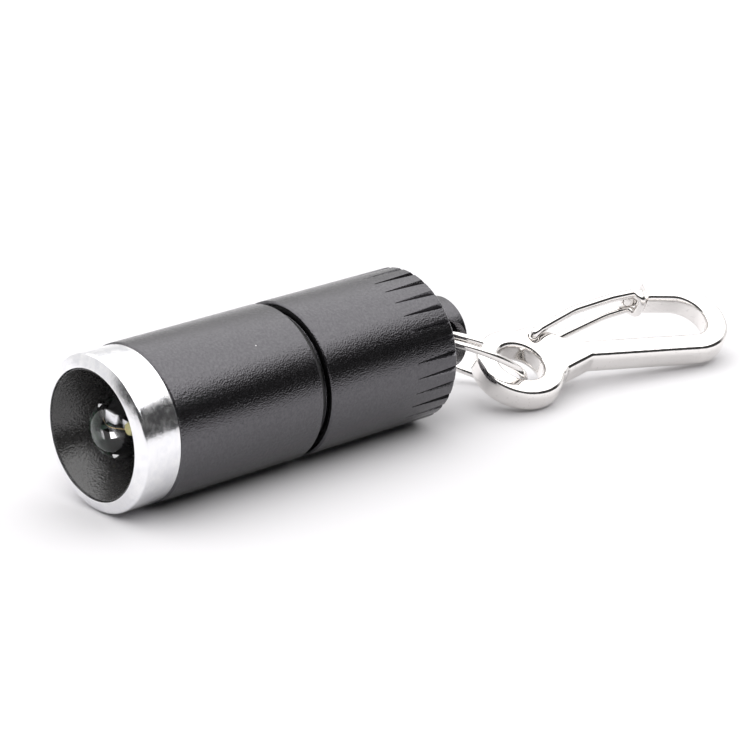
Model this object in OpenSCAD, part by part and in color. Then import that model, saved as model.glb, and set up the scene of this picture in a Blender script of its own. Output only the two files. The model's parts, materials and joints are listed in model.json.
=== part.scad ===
// Twist-to-light keychain flashlight with a split ring and a wire-gate snap hook.
// Millimetres. The light lies along Y with the lamp facing -Y and up being +Z.
// Stations along the light are measured from the front face of the bezel.

/* [Part shown] */
// Piece to build, or all of them

/* [Button cells] */
// Cell diameter
cell_d = 7.9; // [6.8:0.1:11.6]
// Cell height
cell_h = 3.6; // [2.6:0.1:5.4]
// Diameter of the raised negative cap
cell_cap_d = 6.2; // [4.6:0.1:6.4]
// Height of the raised negative cap
cell_cap_h = 0.3; // [0.2:0.05:0.5]

/* [Walls of the barrel] */
// Wall of the insulating sleeve round the cells
sleeve_wall = 0.6; // [0.4:0.05:1]
// Wall of the neck that screws into the head
neck_wall = 0.99; // [0.8:0.01:1.6]
// Wall of the head and of the tail outside the neck
barrel_wall = 0.7; // [0.6:0.05:1.4]
// Length of the head, front face to rear edge
head_len = 18.2; // [17:0.1:24]
// Gap seen between head and tail with the light off
joint_gap = 0.85; // [0.7:0.05:1.2]
// Room left for the tail spring with the light off
spring_room = 6; // [4.5:0.1:9]
// Thickness of the tail floor behind the spring
tail_floor = 1.65; // [1:0.05:3]
// Edge breaks on head and tail
edge_break = 0.15; // [0.1:0.05:0.3]
// Chamfer round the rear edge of the tail
tail_chamfer = 0.3; // [0.1:0.05:0.5]

/* [Screw joint] */
// Advance of the head for one turn
thread_pitch = 0.75; // [0.5:0.05:1]
// Part of a turn from off to on
switch_turn = 0.5; // [0.4:0.05:0.6]
// Length of the threaded part of the neck
thread_len = 4.6; // [3.6:0.1:6]
// Depth of the relief behind the neck thread
relief_depth = 0.34; // [0.2:0.02:0.5]

/* [Seal] */
// Section of the O-ring
oring_section = 0.8; // [0.6:0.05:0.9]
// Depth of the O-ring groove in the neck
oring_groove = 0.5; // [0.4:0.05:0.6]

/* [Bezel and cone] */
// Width of the bright bezel
bezel_w = 3.75; // [3:0.05:5]
// Step of the bezel below the black barrel
bezel_step = 0.1; // [0:0.05:0.2]
// Wall of the bezel outside the head spigot
bezel_wall = 0.6; // [0.5:0.05:0.8]
// Depth of the bezel lip in front of the spigot
bezel_lip = 1; // [0.6:0.05:1.4]
// Slope of the bezel front face, measured along the light
bezel_slope = 0.42; // [0.2:0.02:0.6]
// Wall of the head spigot
spigot_wall = 0.46; // [0.4:0.02:0.6]
// Depth of the black cone
cone_depth = 5.4; // [4:0.1:6]
// Flat ledge behind the cone
cone_back = 1.2; // [0.8:0.1:1.6]
// Thickness of the shoulder between cone and lamp seat
web_t = 0.6; // [0.5:0.05:1]
// Width of the shoulder between cone and lamp seat
web_w = 0.75; // [0.5:0.05:1]

/* [Lamp] */
// Diameter of the clear dome
led_d = 5; // [4.8:0.1:5]
// Diameter of the flange
led_flange_d = 5.8; // [5.6:0.1:6]
// Thickness of the flange
led_flange_t = 1; // [0.8:0.1:1.2]
// Height of the lamp, flange base to tip
led_h = 8.6; // [8:0.1:9]
// Tip of the dome behind the front face
led_inset = 0.38; // [0.1:0.02:1]
// Thickness of the lead frame
lead_t = 0.5; // [0.4:0.05:0.6]
// Spacing of the two leads
lead_pitch = 2.54; // [2.54:0.01:2.54]
// Height of the lead-frame heads in the dome, above the flange base
lead_h = 5.8; // [5:0.1:6]
// Size of the light-giving chip
chip_size = 1; // [0.8:0.1:1.2]

/* [Driver board] */
// Board thickness
board_t = 0.8; // [0.6:0.1:1.2]
// Thickness of the ring contact
ring_contact_t = 0.1; // [0.05:0.05:0.2]
// Diameter of the centre contact
centre_contact_d = 2.6; // [2:0.1:3]
// Height of the centre contact
centre_contact_h = 1; // [0.9:0.05:1.6]
// Resistor length
resistor_len = 1.6; // [1:0.1:1.6]
// Resistor width
resistor_w = 0.8; // [0.5:0.05:0.9]
// Resistor height
resistor_h = 0.45; // [0.35:0.05:0.55]

/* [Tail spring] */
// Spring wire
spring_wire_d = 0.4; // [0.3:0.05:0.5]
// Mean diameter at the cell end
spring_small_d = 3.8; // [3:0.1:5]
// Turns
spring_turns = 4.5; // [3:0.5:6]

/* [Grip flutes] */
// Number of flutes round the tail
flute_count = 30; // [20:1:36]
// Length of a flute
flute_len = 4.5; // [3:0.1:6]
// Depth of a flute at its blunt front end
flute_start = 0.06; // [0.04:0.01:0.12]
// Depth of a flute at the rear edge
flute_depth = 0.36; // [0.2:0.02:0.5]
// Included angle of a flute
flute_angle = 72; // [50:2:90]
// Turn of the flutes round the tail
flute_phase = 8.7; // [0:0.1:12]

/* [Lanyard boss] */
// Boss diameter
boss_d = 6.32; // [5.5:0.1:8]
// Boss length
boss_len = 4.42; // [4.2:0.1:6]
// Cross hole through the boss
boss_hole_d = 2.7; // [2.6:0.05:3]
// Countersink width at the mouths of the cross hole
boss_sink = 0.2; // [0.1:0.05:0.3]
// Tilt of the cross hole above level
boss_tilt = 15; // [0:1:45]
// Chamfer of the boss end
boss_chamfer = 0.3; // [0.1:0.05:0.5]

/* [Split ring] */
// Wire of the ring
ring_wire_d = 0.66; // [0.5:0.02:0.8]
// Mean diameter of the ring
ring_mean_d = 10.7; // [10:0.1:16]
// Gap between the two coils
ring_coil_gap = 0.03; // [0.02:0.01:0.06]
// Droop of the ring below the line of the light
ring_droop = 33.7; // [10:0.1:60]

/* [Snap hook] */
// Thickness of the cast hook
hook_t = 2.3; // [2:0.1:3]
// Rounding of the hook edges
hook_round = 0.55; // [0.4:0.05:0.7]
// Eye hole
eye_hole_d = 4.1; // [4:0.1:5]
// Wall round the eye hole
eye_wall = 1.95; // [1.6:0.05:2.4]
// Width of the spine and of the bow
spine_w = 2.05; // [1.8:0.05:2.4]
// Distance from the eye to the centre of the bow
bow_reach = 18.57; // [16:0.1:24]
// Sideways offset of the bow centre from the eye
bow_offset = 2.6; // [2.2:0.1:3.2]
// Centreline radius of the bow
bow_r = 3.25; // [3:0.05:4]
// Length of the full-thickness arm after the bow
arm_len = 2.6; // [2:0.1:3]
// Length of the thin tongue on the nose
tongue_len = 2.1; // [1.8:0.1:2.4]
// Width of the tongue
tongue_w = 1.25; // [1:0.05:1.3]
// Thickness of the tongue
tongue_t = 0.9; // [0.7:0.05:0.95]

/* [Wire gate] */
// Gate wire
gate_wire_d = 0.8; // [0.7:0.02:0.84]
// Pivot, along the hook from the eye
pivot_along = 2.5; // [2.3:0.1:2.8]
// Pivot, across the hook from the eye
pivot_across = 2.5; // [2.3:0.1:2.8]
// Depth of a pivot hole
pivot_depth = 0.85; // [0.6:0.05:0.9]

/* [Attitude of the hook] */
// Lean of the hook face towards the near side
hook_roll = 26.3; // [0:0.1:40]
// Nose-down pitch of the hook
hook_pitch = 2.64; // [0:0.02:10]
// Heading of the hook, from +X
hook_heading = 78.6; // [60:0.1:100]
// Place of the eye on the ring, from the boss
eye_angle = 141; // [120:1:160]
// Offset of the eye centre from the ring line
eye_offset = [-0.91, 0.13, 0.2];

/* [Clearances] */
// Running clearance of the screw joint, on the radius
joint_clear = 0.06; // [0.03:0.01:0.1]
// Clearance of the cells in the sleeve, on the radius
cell_clear = 0.1; // [0.05:0.01:0.1]
// Clearance of the sleeve in the neck, on the radius
sleeve_clear = 0.1; // [0.05:0.01:0.15]
// Clearance between pieces dropped in from the front or rear
seat_clear = 0.02; // [0.01:0.01:0.05]
// Gap between faces that touch
face_gap = 0.02; // [0.01:0.01:0.05]
// Clearance of the gate wire in its pivot holes, on the radius
pivot_clear = 0.05; // [0.02:0.01:0.1]
// Clearance round the lamp in the cone, on the radius
lamp_clear = 0.1; // [0.05:0.01:0.2]
// Clearance over the O-ring, on the radius
seal_clear = 0.03; // [0.01:0.01:0.06]

/* [Hidden] */
// Station that lies on the origin of the part
origin_station = 12;
// Facets of true round shapes, and of swept wires
$fn = 96;
// Overlap of a cut past the face it opens
past = 1;
// Lap of the straight bars of the hook into the bow
lap = 0.1;
// Cells in the stack
cell_count = 4;
// Radii, from the cells outwards
cell_r = cell_d / 2;
sleeve_in_r = cell_r + cell_clear;
sleeve_out_r = sleeve_in_r + sleeve_wall;
bore_r = sleeve_out_r + sleeve_clear;
neck_r = bore_r + neck_wall;
head_bore_r = neck_r + joint_clear;
barrel_r = head_bore_r + barrel_wall;
// Radii of the front end, from the outside inwards
bezel_r = barrel_r - bezel_step;
spigot_r = bezel_r - bezel_wall;
front_bore_r = spigot_r - spigot_wall;
insert_r = front_bore_r - seat_clear;
web_r = front_bore_r - web_w;
// Stations of the front end
cone_rear = cone_depth + cone_back;
web_rear = cone_rear + web_t;
flange_rear = led_inset + led_h;
flange_front = flange_rear - led_flange_t;
board_front = flange_rear + face_gap;
board_rear = board_front + board_t;
ring_contact_rear = board_rear + ring_contact_t;
contact_rear = board_rear + centre_contact_h;
// Stations of the joint
switch_travel = thread_pitch * switch_turn;
neck_front = ring_contact_rear + switch_travel + face_gap;
tail_front = head_len + joint_gap;
thread_front = neck_front + 0.3;
thread_rear = thread_front + thread_len;
oring_station = tail_front - 0.2 - oring_section / 2;
groove_front = oring_station - oring_section / 2 - 0.05;
groove_rear = oring_station + oring_section / 2 + 0.05;
groove_floor_r = neck_r - oring_groove;
oring_r = groove_floor_r + face_gap + oring_section / 2;
seal_bore_r = oring_r + oring_section / 2 + seal_clear;
// Stations of the tail
stack_front = contact_rear + face_gap;
stack_rear = stack_front + cell_count * cell_h;
spring_rear = stack_rear + spring_room;
tail_end = spring_rear + tail_floor;
sleeve_front = neck_front + 0.4;
sleeve_rear = spring_rear - face_gap;
spring_big_r = sleeve_in_r - spring_wire_d / 2 - 0.1;
hole_station = tail_end + boss_len / 2;
// Split ring
ring_r = ring_mean_d / 2;
coil_step = (ring_wire_d + ring_coil_gap) / 2;
ring_sag = ring_r - sqrt(ring_r * ring_r - boss_d * boss_d / 4);
ring_centre = ring_r - ring_sag / 2;
ring_start = 62;
ring_end = -420;
jog_from = -95;
jog_to = -205;
// Directions of the ring: along the cross hole, and away from the boss
hole_dir = [cos(boss_tilt), 0, sin(boss_tilt)];
away_dir = [sin(ring_droop) * sin(boss_tilt), cos(ring_droop), -sin(ring_droop) * cos(boss_tilt)];
eye_on_ring = away_dir * (ring_centre - ring_r * cos(eye_angle)) + hole_dir * ring_r * sin(eye_angle);
eye_pos = [0, hole_station, 0] + eye_on_ring + eye_offset;
// Snap hook
eye_r = eye_hole_d / 2;
eye_out_r = eye_r + eye_wall;
spine_tilt = -5.35;
bow_start = spine_tilt - 90;
bow_stop = 80;
arm_dir = bow_stop + 90;
spine_start_along = 6.6;
bow_foot = [bow_reach + bow_r * cos(bow_start), bow_offset + bow_r * sin(bow_start)];
bow_head = [bow_reach + bow_r * cos(bow_stop), bow_offset + bow_r * sin(bow_stop)];
spine_len = (bow_foot.x - spine_start_along) / cos(spine_tilt);
spine_start = bow_foot - spine_len * [cos(spine_tilt), sin(spine_tilt)];
arm_end = bow_head + arm_len * [cos(arm_dir), sin(arm_dir)];
// Section of a straight bar, a hair over the bow so that the two join
bar_w = spine_w + 0.04;
bar_t = hook_t + 0.02;
// Discs that shape the web of the gate and the root of the spine: along, across, radius
web_discs = [
    [0.6, 0.6, eye_out_r - 1],
    [pivot_along + 0.25, pivot_across - 0.15, 1.65],
    [4.35, 1.9, 1.05]
];
root_discs = [
    [2, 0.2, eye_out_r - 1.6],
    [4.7, 0.9, 1.5],
    [spine_start.x + 0.4, spine_start.y - 0.03, bar_w / 2 + 0.02]
];
// Wire gate, corners of the upper leg in the plane of the hook
leg_gap = gate_wire_d / 2 + 0.2;
leg_level = tongue_t / 2 + gate_wire_d / 2 + 0.07;
cross_at = arm_end + [-0.76, -0.96];
leg_end = arm_end + [-1.2, -0.1];
gate_leg = [
    [pivot_along, pivot_across, hook_t / 2 - pivot_depth + 0.06],
    [pivot_along, pivot_across, hook_t / 2 + leg_gap],
    [7.6, 4.55, hook_t / 2 + leg_gap - 0.25],
    [12.6, 5.8, leg_level + 0.15],
    [leg_end.x, leg_end.y, leg_level],
    [cross_at.x, cross_at.y, leg_level]
];
mirror_leg = [for (i = [len(gate_leg) - 1 : -1 : 0]) [gate_leg[i].x, gate_leg[i].y, -gate_leg[i].z]];
gate_corners = concat(gate_leg, mirror_leg);

// Lays a shape turned about Z along the light, Z becoming the station
module along_light() {
    rotate([-90, 0, 0])
        translate([0, 0, -origin_station])
            children();
}

// Solid of revolution from a profile of [radius, station] points
module turned(profile) {
    along_light()
        rotate_extrude()
            polygon(profile);
}

// Direction of a path at one of its points
function heading(path, i) =
    let (a = path[max(i - 1, 0)], b = path[min(i + 1, len(path) - 1)])
    (b - a) / norm(b - a);

// Circle of points round a path point
function section(path, i, r, n, ref) =
    let (t = heading(path, i), s = cross(t, ref) / norm(cross(t, ref)), q = cross(s, t))
    [for (k = [0 : n - 1]) path[i] + r * (cos(360 * k / n) * s + sin(360 * k / n) * q)];

// Round wire swept along a path; ref is never parallel to the path
module wire(path, d, n, ref) {
    points = [for (i = [0 : len(path) - 1]) each section(path, i, d / 2, n, ref)];
    walls = [
        for (i = [0 : len(path) - 2])
            for (k = [0 : n - 1])
                each [
                    [i * n + k, (i + 1) * n + (k + 1) % n, i * n + (k + 1) % n],
                    [i * n + k, (i + 1) * n + k, (i + 1) * n + (k + 1) % n]
                ]
    ];
    first = [for (k = [0 : n - 1]) k];
    last = [for (k = [n - 1 : -1 : 0]) (len(path) - 1) * n + k];
    polyhedron(points = points, faces = concat(walls, [first], [last]));
}

// Point on the rounded corner b between a and c, with t from 0 to 1
function corner_point(a, b, c, r, t) =
    let (
        p = b + (a - b) * min(r / norm(a - b), 0.45),
        q = b + (c - b) * min(r / norm(c - b), 0.45)
    )
    (1 - t) * (1 - t) * p + 2 * t * (1 - t) * b + t * t * q;

// Path through corners, each rounded with n steps
function rounded_path(pts, r, n) = concat(
    [pts[0]],
    [
        for (i = [1 : len(pts) - 2])
            for (k = [0 : n])
                corner_point(pts[i - 1], pts[i], pts[i + 1], r, k / n)
    ],
    [pts[len(pts) - 1]]
);

// Bright turned ring round the front, pressed over the head spigot
module bezel_ring() {
    color([0.86, 0.86, 0.88])
        turned([
            [front_bore_r, 0],
            [bezel_r - 0.1, bezel_slope],
            [bezel_r, bezel_slope + 0.1],
            [bezel_r, bezel_w - 0.05],
            [bezel_r - 0.05, bezel_w],
            [spigot_r, bezel_w],
            [spigot_r, bezel_lip],
            [front_bore_r, bezel_lip]
        ]);
}

// Black head: spigot for the bezel, shoulder for the lamp, threaded bore
module head_shell() {
    color([0.1, 0.1, 0.11])
        turned([
            [front_bore_r, bezel_lip],
            [spigot_r, bezel_lip],
            [spigot_r, bezel_w],
            [barrel_r - edge_break, bezel_w],
            [barrel_r, bezel_w + edge_break],
            [barrel_r, head_len - edge_break],
            [barrel_r - edge_break, head_len],
            [seal_bore_r + edge_break, head_len],
            [seal_bore_r, head_len - edge_break],
            [seal_bore_r, groove_front - 0.5],
            [head_bore_r, groove_front - 0.8],
            [head_bore_r, board_rear],
            [front_bore_r, board_rear],
            [front_bore_r, web_rear],
            [web_r, web_rear],
            [web_r, cone_rear],
            [front_bore_r, cone_rear]
        ]);
}

// Matte black cone that shields the lamp
module reflector_cone() {
    color([0.08, 0.08, 0.08])
        turned([
            [insert_r - 0.12, 0.12],
            [insert_r, 0.24],
            [insert_r, cone_rear - face_gap],
            [led_d / 2 + lamp_clear, cone_rear - face_gap],
            [led_d / 2 + lamp_clear, cone_depth]
        ]);
}

// Outline of the clear lamp body, dome to flange
module led_profile() {
    translate([0, led_inset + led_d / 2])
        intersection() {
            circle(d = led_d);
            translate([0, -led_d])
                square([led_d, 2 * led_d]);
        }
    translate([0, led_inset + led_d / 2])
        square([led_d / 2, led_h - led_d / 2]);
    translate([0, flange_front])
        square([led_flange_d / 2, led_flange_t]);
}

// Lead with its head in the dome, running back through the board
module led_lead(side, head_w) {
    along_light() {
        translate([side * lead_pitch / 2 - lead_t / 2, -lead_t / 2, flange_rear - lead_h + 1])
            cube([lead_t, lead_t, lead_h - 1 + face_gap + board_t + 0.4]);
        translate([side * lead_pitch / 2 + lead_t / 2 - (side + 1) / 2 * head_w, -lead_t / 2, flange_rear - lead_h])
            translate([-(1 - side) / 2 * lead_t, 0, 0])
                cube([head_w, lead_t, 2.2]);
    }
}

// Wide lead that carries the chip
module led_anvil() {
    color([0.78, 0.78, 0.8])
        led_lead(1, 1.9);
}

// Narrow lead for the bond wire
module led_post() {
    color([0.78, 0.78, 0.8])
        led_lead(-1, 0.8);
}

// Light-giving chip under its phosphor, on the wide lead
module led_chip() {
    color([0.93, 0.86, 0.45])
        along_light()
            translate([lead_pitch / 2 + lead_t / 2 - 0.95 - chip_size / 2, -lead_t / 2, flange_rear - lead_h - 0.3])
                cube([chip_size, lead_t, 0.3]);
}

// Clear epoxy body cast round the leads and the chip
module led_lens() {
    color([0.9, 0.92, 0.95, 0.35])
        difference() {
            along_light()
                rotate_extrude()
                    led_profile();
            led_anvil();
            led_post();
            led_chip();
        }
}

// Insulating seat that centres the lamp in the head
module led_seat() {
    color([0.92, 0.92, 0.9])
        turned([
            [led_d / 2 + seat_clear, web_rear + face_gap],
            [insert_r, web_rear + face_gap],
            [insert_r, flange_rear],
            [led_flange_d / 2 + seat_clear, flange_rear],
            [led_flange_d / 2 + seat_clear, flange_front - face_gap],
            [led_d / 2 + seat_clear, flange_front - face_gap]
        ]);
}

// Round driver board with two holes for the leads
module driver_board() {
    color([0.1, 0.32, 0.16])
        difference() {
            turned([[0, board_front], [insert_r, board_front], [insert_r, board_rear], [0, board_rear]]);
            along_light()
                for (side = [-1, 1])
                    translate([side * lead_pitch / 2, 0, board_front - past])
                        cylinder(h = board_t + 2 * past, d = lead_t * 1.5, $fn = 32);
        }
}

// Ring contact on the back of the board, met by the neck when the light is on
module ring_contact() {
    color([0.85, 0.55, 0.3])
        turned([
            [bore_r - 0.15, board_rear],
            [insert_r, board_rear],
            [insert_r, ring_contact_rear],
            [bore_r - 0.15, ring_contact_rear]
        ]);
}

// Domed centre contact that meets the first cell
module centre_contact() {
    color([0.88, 0.72, 0.35])
        difference() {
            turned([
                [0, board_rear],
                [centre_contact_d / 2 + 0.4, board_rear],
                [centre_contact_d / 2 + 0.4, board_rear + 0.2],
                [centre_contact_d / 2, board_rear + 0.3],
                [centre_contact_d / 2 - 0.3, contact_rear],
                [0, contact_rear]
            ]);
            along_light()
                for (side = [-1, 1])
                    translate([side * lead_pitch / 2, 0, board_rear - past])
                        cylinder(h = past + 0.5, d = lead_t * 1.5, $fn = 32);
        }
}

// Resistor in series with the lamp, on the back of the board
module chip_resistor() {
    color([0.15, 0.15, 0.16])
        along_light()
            translate([-resistor_len / 2, -sleeve_in_r + 0.5, board_rear])
                cube([resistor_len, resistor_w, resistor_h]);
}

// One cell: flat can towards the lamp, raised cap towards the tail
module button_cell(index) {
    front = stack_front + (index - 1) * cell_h;
    rear = front + cell_h - (index < cell_count ? face_gap : 0);
    color([0.8, 0.8, 0.8])
        turned([
            [0, front],
            [cell_r - 0.2, front],
            [cell_r, front + 0.2],
            [cell_r, rear - cell_cap_h - 0.15],
            [cell_r - 0.3, rear - cell_cap_h],
            [cell_cap_d / 2, rear - cell_cap_h],
            [cell_cap_d / 2 - 0.1, rear],
            [0, rear]
        ]);
}

// One flute, narrow in front and open at the rear edge
module flute() {
    half_w = 2 * tan(flute_angle / 2);
    translate([barrel_r - flute_start, 0, tail_end - flute_len])
        rotate([0, -atan((flute_depth - flute_start) / flute_len), 0])
            linear_extrude(height = flute_len + 2 * past)
                polygon([[0, 0], [2, half_w], [2, -half_w]]);
}

// Black tail: threaded neck, O-ring groove, fluted grip and lanyard boss
module tail_shell() {
    color([0.1, 0.1, 0.11])
        difference() {
            turned([
                [bore_r, neck_front],
                [neck_r - 0.2, neck_front],
                [neck_r, neck_front + 0.2],
                [neck_r, thread_rear],
                [neck_r - relief_depth, thread_rear + 0.3],
                [neck_r - relief_depth, groove_front - 0.6],
                [neck_r, groove_front - 0.3],
                [neck_r, groove_front],
                [groove_floor_r, groove_front],
                [groove_floor_r, groove_rear],
                [neck_r, groove_rear],
                [neck_r, tail_front],
                [barrel_r - edge_break, tail_front],
                [barrel_r, tail_front + edge_break],
                [barrel_r, tail_end - tail_chamfer],
                [barrel_r - tail_chamfer, tail_end],
                [boss_d / 2, tail_end],
                [boss_d / 2, tail_end + boss_len - boss_chamfer],
                [boss_d / 2 - boss_chamfer, tail_end + boss_len],
                [0, tail_end + boss_len],
                [0, spring_rear],
                [bore_r, spring_rear]
            ]);
            along_light()
                for (k = [0 : flute_count - 1])
                    rotate([0, 0, -flute_phase - k * 360 / flute_count])
                        flute();
            along_light()
                translate([0, 0, hole_station])
                    rotate([0, 0, -boss_tilt])
                        rotate([0, 90, 0])
                            lanyard_hole();
        }
}

// Cross hole with countersunk mouths
module lanyard_hole() {
    hole_r = boss_hole_d / 2;
    mouth = sqrt(boss_d * boss_d / 4 - hole_r * hole_r) - boss_sink / 2;
    cylinder(h = boss_d + 2 * past, r = hole_r, center = true);
    for (side = [-1, 1])
        rotate([side < 0 ? 180 : 0, 0, 0])
            translate([0, 0, mouth])
                cylinder(h = past, r1 = hole_r, r2 = hole_r + past);
}

// Insulating sleeve round the cells
module battery_sleeve() {
    color([0.94, 0.94, 0.92])
        turned([
            [sleeve_in_r + 0.2, sleeve_front],
            [sleeve_out_r, sleeve_front],
            [sleeve_out_r, sleeve_rear],
            [sleeve_in_r, sleeve_rear],
            [sleeve_in_r, sleeve_front + 0.2]
        ]);
}

// Conical spring between the last cell and the tail floor
module tail_spring() {
    steps = 28 * spring_turns;
    start = stack_rear + face_gap + spring_wire_d / 2;
    stop = spring_rear - face_gap - spring_wire_d / 2;
    small_r = spring_small_d / 2;
    path = [
        for (i = [0 : steps])
            let (
                t = i / steps,
                turn = 360 * spring_turns * t,
                rise = min(max((t * spring_turns - 0.75) / (spring_turns - 1.5), 0), 1),
                r = small_r + (spring_big_r - small_r) * rise
            )
            [r * cos(turn), r * sin(turn), start + (stop - start) * rise]
    ];
    color([0.75, 0.75, 0.77])
        along_light()
            wire(path, spring_wire_d, 8, [0, 0, 1]);
}

// Seal in the neck groove
module o_ring() {
    color([0.05, 0.05, 0.05])
        along_light()
            translate([0, 0, oring_station])
                rotate_extrude()
                    translate([oring_r, 0])
                        circle(d = oring_section, $fn = 32);
}

// Height of the ring wire above its middle plane at one angle
function coil_level(a) =
    a > jog_from ? coil_step
    : a < jog_to ? -coil_step
    : coil_step * cos(180 * (jog_from - a) / (jog_from - jog_to));

// Overlapping spring-wire ring through the boss and the eye of the hook
module split_ring() {
    path = [
        for (a = [ring_start : -5.5 : ring_end])
            [ring_r * sin(a), ring_centre - ring_r * cos(a), coil_level(a)]
    ];
    color([0.84, 0.83, 0.82])
        translate([0, hole_station - origin_station, 0])
            rotate([-ring_droop, -boss_tilt, 0])
                wire(path, ring_wire_d, 12, [0, 0, 1]);
}

// Rounded rectangle as points, for the sections of the hook
function round_rect(w, t, r) = [
    for (q = [[1, 1, 0], [-1, 1, 90], [-1, -1, 180], [1, -1, 270]])
        for (k = [0 : 4])
            [q.x * (w / 2 - r) + r * cos(q.z + 22.5 * k), q.y * (t / 2 - r) + r * sin(q.z + 22.5 * k)]
];

// Flat disc with rounded edges
module puck(at, r) {
    edge = [
        for (k = [0 : 8])
            let (a = -90 + 22.5 * k)
            [r - hook_round + hook_round * cos(a), (hook_t / 2 - hook_round) * sign(a + 0.001) + hook_round * sin(a)]
    ];
    translate([at.x, at.y, 0])
        rotate_extrude($fn = 32)
            polygon(concat([[0, -hook_t / 2]], edge, [[0, hook_t / 2]]));
}

// Hole of the eye with rounded rims
module eye_cut() {
    rim = [
        for (k = [0 : 4])
            [eye_r + hook_round - hook_round * cos(22.5 * k), hook_t / 2 - hook_round + hook_round * sin(22.5 * k)]
    ];
    lower = [for (k = [4 : -1 : 0]) [rim[k].x, -rim[k].y]];
    top = hook_t / 2 + past;
    rotate_extrude()
        polygon(concat([[0, -top], [rim[4].x, -top]], lower, rim, [[rim[4].x, top], [0, top]]));
}

// Puts the hook on the ring, in its attitude
module at_hook() {
    translate(eye_pos - [0, origin_station, 0])
        rotate([hook_roll, hook_pitch, hook_heading])
            children();
}

// Cast hook: eye, spine, bow and nose
module hook_body() {
    color([0.83, 0.82, 0.81])
        at_hook()
            difference() {
                union() {
                    puck([0, 0], eye_out_r);
                    hull() {
                        puck(web_discs[0], web_discs[0].z);
                        puck(web_discs[1], web_discs[1].z);
                        puck(web_discs[2], web_discs[2].z);
                    }
                    hull() {
                        puck(root_discs[0], root_discs[0].z);
                        puck(root_discs[1], root_discs[1].z);
                        puck(root_discs[2], root_discs[2].z);
                    }
                    translate([spine_start.x, spine_start.y, 0])
                        rotate([0, 0, spine_tilt])
                            rotate([90, 0, 90])
                                linear_extrude(height = spine_len + lap)
                                    polygon(round_rect(bar_w, bar_t, hook_round));
                    translate([bow_reach, bow_offset, 0])
                        rotate([0, 0, bow_start])
                            rotate_extrude(angle = bow_stop - bow_start)
                                translate([bow_r, 0])
                                    polygon(round_rect(spine_w, hook_t, hook_round));
                    translate([bow_head.x, bow_head.y, 0])
                        rotate([0, 0, arm_dir])
                            rotate([90, 0, 90])
                                translate([0, 0, -lap])
                                    linear_extrude(height = arm_len + lap)
                                        polygon(round_rect(bar_w, bar_t, hook_round));
                    translate([arm_end.x, arm_end.y, 0])
                        rotate([0, 0, arm_dir])
                            nose_tongue();
                }
                eye_cut();
                for (side = [-1, 1])
                    translate([pivot_along, pivot_across, side * (hook_t / 2 + past / 2 - pivot_depth / 2)])
                        cylinder(h = pivot_depth + past, r = gate_wire_d / 2 + pivot_clear, center = true, $fn = 32);
            }
}

// Thin rounded tongue that the gate wire straddles
module nose_tongue() {
    tip_r = tongue_w / 2;
    translate([-0.3, -tip_r, -tongue_t / 2])
        cube([tongue_len - tip_r + 0.3, tongue_w, tongue_t]);
    translate([tongue_len - tip_r, 0, 0])
        cylinder(h = tongue_t, r = tip_r, center = true, $fn = 48);
}

// Spring-wire gate hinged in the hook
module hook_gate() {
    color([0.8, 0.8, 0.8])
        at_hook()
            wire(rounded_path(gate_corners, 0.62, 4), gate_wire_d, 12, [0, 1, 0]);
}

bezel_ring();
head_shell();
reflector_cone();
led_lens();
led_anvil();
led_post();
led_chip();
led_seat();
driver_board();
ring_contact();
centre_contact();
chip_resistor();
button_cell(1);  // button_cell_1
button_cell(2);  // button_cell_2
button_cell(3);  // button_cell_3
button_cell(4);  // button_cell_4
tail_shell();
battery_sleeve();
tail_spring();
o_ring();
split_ring();
hook_body();
hook_gate();
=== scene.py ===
"""Keychain flashlight: the detailed pieces, finishes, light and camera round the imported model.

The light lies along Y with its lamp facing -Y. Lengths are written in millimetres, and MM turns
them into metres. Stations along the light are counted from the front face of the bezel.
"""
import json
import math

import bmesh
import bpy
from mathutils import Euler, Matrix, Vector


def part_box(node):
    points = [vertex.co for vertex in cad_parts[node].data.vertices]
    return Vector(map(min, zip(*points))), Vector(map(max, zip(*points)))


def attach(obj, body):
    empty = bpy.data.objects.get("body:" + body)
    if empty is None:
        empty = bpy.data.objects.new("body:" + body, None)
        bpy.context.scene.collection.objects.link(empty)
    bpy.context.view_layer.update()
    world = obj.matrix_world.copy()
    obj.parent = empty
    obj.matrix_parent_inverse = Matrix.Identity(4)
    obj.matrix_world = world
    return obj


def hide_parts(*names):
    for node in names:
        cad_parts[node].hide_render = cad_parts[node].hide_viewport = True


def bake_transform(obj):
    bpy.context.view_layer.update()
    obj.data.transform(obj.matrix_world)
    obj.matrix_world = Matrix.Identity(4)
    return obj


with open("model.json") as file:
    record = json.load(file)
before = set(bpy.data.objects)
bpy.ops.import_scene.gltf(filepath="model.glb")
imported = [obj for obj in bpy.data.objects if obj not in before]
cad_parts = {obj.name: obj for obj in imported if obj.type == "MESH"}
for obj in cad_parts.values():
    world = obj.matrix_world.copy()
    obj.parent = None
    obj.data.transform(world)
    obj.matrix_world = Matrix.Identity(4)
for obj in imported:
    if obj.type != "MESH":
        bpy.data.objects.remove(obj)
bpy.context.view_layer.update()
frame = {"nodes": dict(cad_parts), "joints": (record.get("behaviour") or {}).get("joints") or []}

MM = 0.001
nodes = frame["nodes"]
joints = {j["name"]: j for j in frame["joints"]}
front_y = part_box("bezel_ring")[0].y / MM
floor_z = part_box("head_shell")[0].z
barrel_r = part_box("head_shell")[1].x / MM
bezel_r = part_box("bezel_ring")[1].x / MM


def station(node, end):
    """Station of a node's front (0) or rear (1) face, in millimetres."""
    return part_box(node)[end].y / MM - front_y


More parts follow.
